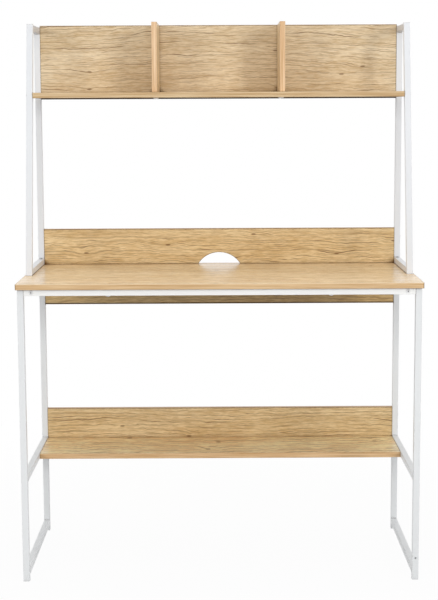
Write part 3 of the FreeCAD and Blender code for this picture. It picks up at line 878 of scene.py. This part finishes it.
class DESK_OT_notch_lining(Operator):
    """Line the cable notch with a strip of edge band"""

    bl_idname = "desk.notch_lining"
    bl_label = "Notch Lining"

    def execute(self, context):
        looks = context.scene.desk_boards
        low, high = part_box("desk_back_panel")
        half = looks.notch_width / 2
        radius = (half**2 + looks.notch_height**2) / (2 * looks.notch_height)
        centre = low.z + looks.notch_height - radius
        reach = math.asin(half / radius)
        layers = ((radius - looks.notch_lining, (low.y, high.y)), (radius, (high.y, low.y)))
        sections = []
        for step in range(looks.notch_steps + 1):
            angle = reach * (2 * step / looks.notch_steps - 1)
            section = []
            for size, depths in layers:
                height = max(low.z, centre + math.cos(angle) * size)
                section += [Vector((math.sin(angle) * size, depth, height)) for depth in depths]
            sections.append(section)
        built = bmesh.new()
        sweep(built, sections)
        add_piece("notch_lining", built, bpy.data.materials["finish_desk_back_panel_edge_band"])
        return {"FINISHED"}


class DESK_OT_frames(Operator):
    """Give the tubes of the leg frames, the hutch and the crossbar their powder coat"""

    bl_idname = "desk.frames"
    bl_label = "Frames"

    def execute(self, context):
        looks = context.scene.desk_frame
        # The hutch and top rail coats are darker copies of the powder coat, which paint shade on those tubes
        colours = {
            "powder_coat": looks.paint,
            "hutch_coat": looks.hutch_paint_and_shade,
            "top_rail_coat": looks.rail_shaded_paint,
        }
        for name, colour in colours.items():
            coat = powder_coat(name, colour, looks.tube_ease, looks.crease_shade_colour, looks.frame_shade_reach)
            dress_sides(TUBES[name], coat)
        # The crossbar's coat is a lighter copy that paints light under the desktop's overhang; its crease
        # shade has the coat's own colour, so none shows
        lit_bar_paint = looks.bar_lit_paint
        dress("front_crossbar", powder_coat("crossbar_coat", lit_bar_paint, looks.tube_ease, lit_bar_paint, looks.frame_shade_reach))
        dress("crossbar_spigots", bpy.data.materials["powder_coat"])
        return {"FINISHED"}


class DESK_OT_welds(Operator):
    """Build the painted weld beads where the rails meet the legs and the posts"""

    bl_idname = "desk.welds"
    bl_label = "Weld Beads"

    def joints(self, side):
        """Corner, direction along the rail and direction along the upright, for each bead of one side."""
        ahead, back = Vector((0, 1, 0)), Vector((0, -1, 0))
        up, down = Vector((0, 0, 1)), Vector((0, 0, -1))
        found = []
        for rail, open_above in (("bottom_rail", True), ("shelf_rail", True), ("top_rail", False)):
            low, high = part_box(f"{side}_{rail}")
            edges = [(high.z, up), (low.z, down)] if open_above else [(low.z, down)]
            for height, along_upright in edges:
                found.append((Vector((low.x, low.y, height)), ahead, along_upright))
                found.append((Vector((low.x, high.y, height)), back, along_upright))
        post_low, post_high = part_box(f"{side}_hutch_front_post")
        base_low, base_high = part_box(f"{side}_hutch_base_rail")
        top_low, top_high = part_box(f"{side}_hutch_top_rail")
        section = base_low.y - post_low.y
        slope = (post_high.y - post_low.y - section) / (post_high.z - post_low.z)
        leaning = Vector((0, slope, 1)).normalized()
        base_front = base_low.y + slope * (base_high.z - base_low.z)
        found.append((Vector((base_low.x, base_front, base_high.z)), ahead, leaning))
        found.append((Vector((base_low.x, base_high.y, base_high.z)), back, up))
        found.append((Vector((top_low.x, top_low.y, top_low.z)), ahead, -leaning))
        found.append((Vector((top_low.x, top_high.y, top_low.z)), back, down))
        return found

    def execute(self, context):
        looks = context.scene.desk_frame
        inset = Vector((looks.corner_radius, 0, 0))
        for side in SIDES:
            low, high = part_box(f"{side}_top_rail")
            length = high.x - low.x - 2 * looks.corner_radius
            built = bmesh.new()
            for corner, along_rail, along_upright in self.joints(side):
                weld_bead(built, corner + inset, length, along_rail, along_upright, looks)
            add_piece(f"{side}_weld_beads", built, bpy.data.materials["powder_coat"])
        return {"FINISHED"}


class DESK_OT_plugs(Operator):
    """Give the feet and the post caps their moulded plastic"""

    bl_idname = "desk.plugs"
    bl_label = "Feet and Caps"

    def execute(self, context):
        looks = context.scene.desk_frame
        dress_sides(PLUGS, moulded_plastic("moulded_plastic", looks.plastic, looks.tube_ease))
        return {"FINISHED"}


class DESK_OT_fasteners(Operator):
    """Give the screws their paint, and the bolts and nuts their plating"""

    bl_idname = "desk.fasteners"
    bl_label = "Fasteners"

    def execute(self, context):
        looks = context.scene.desk_frame
        # The painted screws get painted shade in their sockets
        paint = powder_coat(
            "screw_paint", looks.screw_paint, looks.tube_ease, looks.socket, looks.socket_shade_reach,
            SCREW_GRAIN, SCREW_SATIN,
        )
        steel = plated_steel("plated_steel", looks.steel, looks.tube_ease)
        for node in PAINTED_SCREWS:
            dress(node, paint)
        for node in STEEL_FASTENERS:
            dress(node, steel)
        return {"FINISHED"}


class DESK_OT_studio(Operator):
    """Set up the floor, the softboxes, the white surroundings and the camera"""

    bl_idname = "desk.studio"
    bl_label = "Studio"

    def seen_share(self, tree):
        """1 for what the camera sees directly, in a reflection or through glass, otherwise 0."""
        path = add(tree, "LightPath").outputs
        seen = calc(tree, "MAXIMUM", path["Is Camera Ray"], path["Is Glossy Ray"])
        return calc(tree, "MAXIMUM", seen, path["Is Transmission Ray"])

    def floor(self, looks):
        """A pale floor that is white to the camera, apart from the desk's shadow."""
        material, tree, shader = new_material("studio_floor")
        shader.inputs["Base Color"].default_value = colour4(looks.floor_colour)
        shader.inputs["Roughness"].default_value = looks.floor_matt
        shader.inputs["Specular IOR Level"].default_value = 0.0
        glow = add(tree, "Emission", {"Color": WHITE, "Strength": 1.0})
        reach = add(tree, "VectorMath", {0: surface_place(tree)}, operation="LENGTH").outputs["Value"]
        glow_share = ramp(tree, reach, looks.floor_near, looks.floor_far, looks.floor_glow, 1.0)
        share = calc(tree, "MULTIPLY", self.seen_share(tree), glow_share)
        mixed = add(tree, "MixShader", {0: share, 1: shader.outputs[0], 2: glow.outputs[0]})
        tree.links.new(mixed.outputs[0], tree.nodes["Material Output"].inputs["Surface"])
        built = bmesh.new()
        half = looks.floor_size / 2
        bmesh.ops.create_grid(built, x_segments=FLOOR_SEGMENTS, y_segments=FLOOR_SEGMENTS, size=half)
        floor = link_mesh("studio_floor", built, material)
        floor.location.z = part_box("left_front_foot")[0].z

    def lamp(self, name, softbox, looks):
        """A lamp that lights the desk but isn't mirrored in its boards."""
        light = bpy.data.lights.new(name, "AREA")
        light.shape = "RECTANGLE"
        light.size, light.size_y = softbox.size
        light.energy = getattr(looks, softbox.power)
        lamp = bpy.data.objects.new(name, light)
        lamp.location = softbox.place
        lamp.visible_glossy = False
        towards = (CAD_BOX[0] + CAD_BOX[1]) / 2 - Vector(softbox.place)
        lamp.rotation_euler = towards.to_track_quat("-Z", "Y").to_euler()
        bpy.context.scene.collection.objects.link(lamp)

    def surroundings(self, looks):
        """A white world that lights the desk less brightly than it looks."""
        world = bpy.data.worlds.new("studio_white")
        world.use_nodes = True
        tree = world.node_tree
        levels = {"Value": self.seen_share(tree), "To Min": looks.ambient, "To Max": 1.0}
        background = tree.nodes["Background"]
        background.inputs["Color"].default_value = WHITE
        tree.links.new(add(tree, "MapRange", levels).outputs[0], background.inputs["Strength"])
        bpy.context.scene.world = world

    def camera(self, looks):
        """A camera at the photograph's viewing angle."""
        lens = bpy.data.cameras.new("photo_camera")
        lens.sensor_fit = "VERTICAL"
        lens.sensor_height = looks.camera_film
        lens.lens = looks.camera_lens
        camera = bpy.data.objects.new("photo_camera", lens)
        heading = Matrix.Rotation(-looks.camera_yaw, 4, "Z")
        tilt = Matrix.Rotation(RIGHT_ANGLE - looks.camera_pitch, 4, "X")
        lean = Matrix.Rotation(looks.camera_roll, 4, "Z")
        camera.matrix_world = Matrix.Translation(looks.camera_place) @ heading @ tilt @ lean
        bpy.context.scene.collection.objects.link(camera)
        bpy.context.scene.camera = camera

    def execute(self, context):
        looks = context.scene.desk_studio
        self.floor(looks)
        for name, softbox in SOFTBOXES.items():
            self.lamp(name, softbox, looks)
        self.surroundings(looks)
        self.camera(looks)
        context.scene.view_settings.view_transform = "Standard"
        return {"FINISHED"}


class DESK_PT_panel(Panel):
    """The desk's steps, in order"""

    bl_idname = "DESK_PT_panel"
    bl_label = "Desk with Shelves"
    bl_space_type = "VIEW_3D"
    bl_region_type = "UI"
    bl_category = "Desk"

    def draw(self, context):
        for step in STEPS:
            self.layout.operator(step.bl_idname)


STEPS = (
    DESK_OT_boards,
    DESK_OT_notch_lining,
    DESK_OT_frames,
    DESK_OT_welds,
    DESK_OT_plugs,
    DESK_OT_fasteners,
    DESK_OT_studio,
)
LOOKS = {"desk_boards": BoardLooks, "desk_frame": FrameLooks, "desk_studio": StudioLooks}


def register():
    for item in (*LOOKS.values(), *STEPS, DESK_PT_panel):
        bpy.utils.register_class(item)
    for name, group in LOOKS.items():
        setattr(bpy.types.Scene, name, PointerProperty(type=group))


def unregister():
    for name in LOOKS:
        delattr(bpy.types.Scene, name)
    for item in (DESK_PT_panel, *reversed(STEPS), *LOOKS.values()):
        bpy.utils.unregister_class(item)


def main():
    register()
    bpy.ops.desk.boards()
    bpy.ops.desk.notch_lining()
    bpy.ops.desk.frames()
    bpy.ops.desk.welds()
    bpy.ops.desk.plugs()
    bpy.ops.desk.fasteners()
    bpy.ops.desk.studio()


if __name__ == "__main__":
    main()
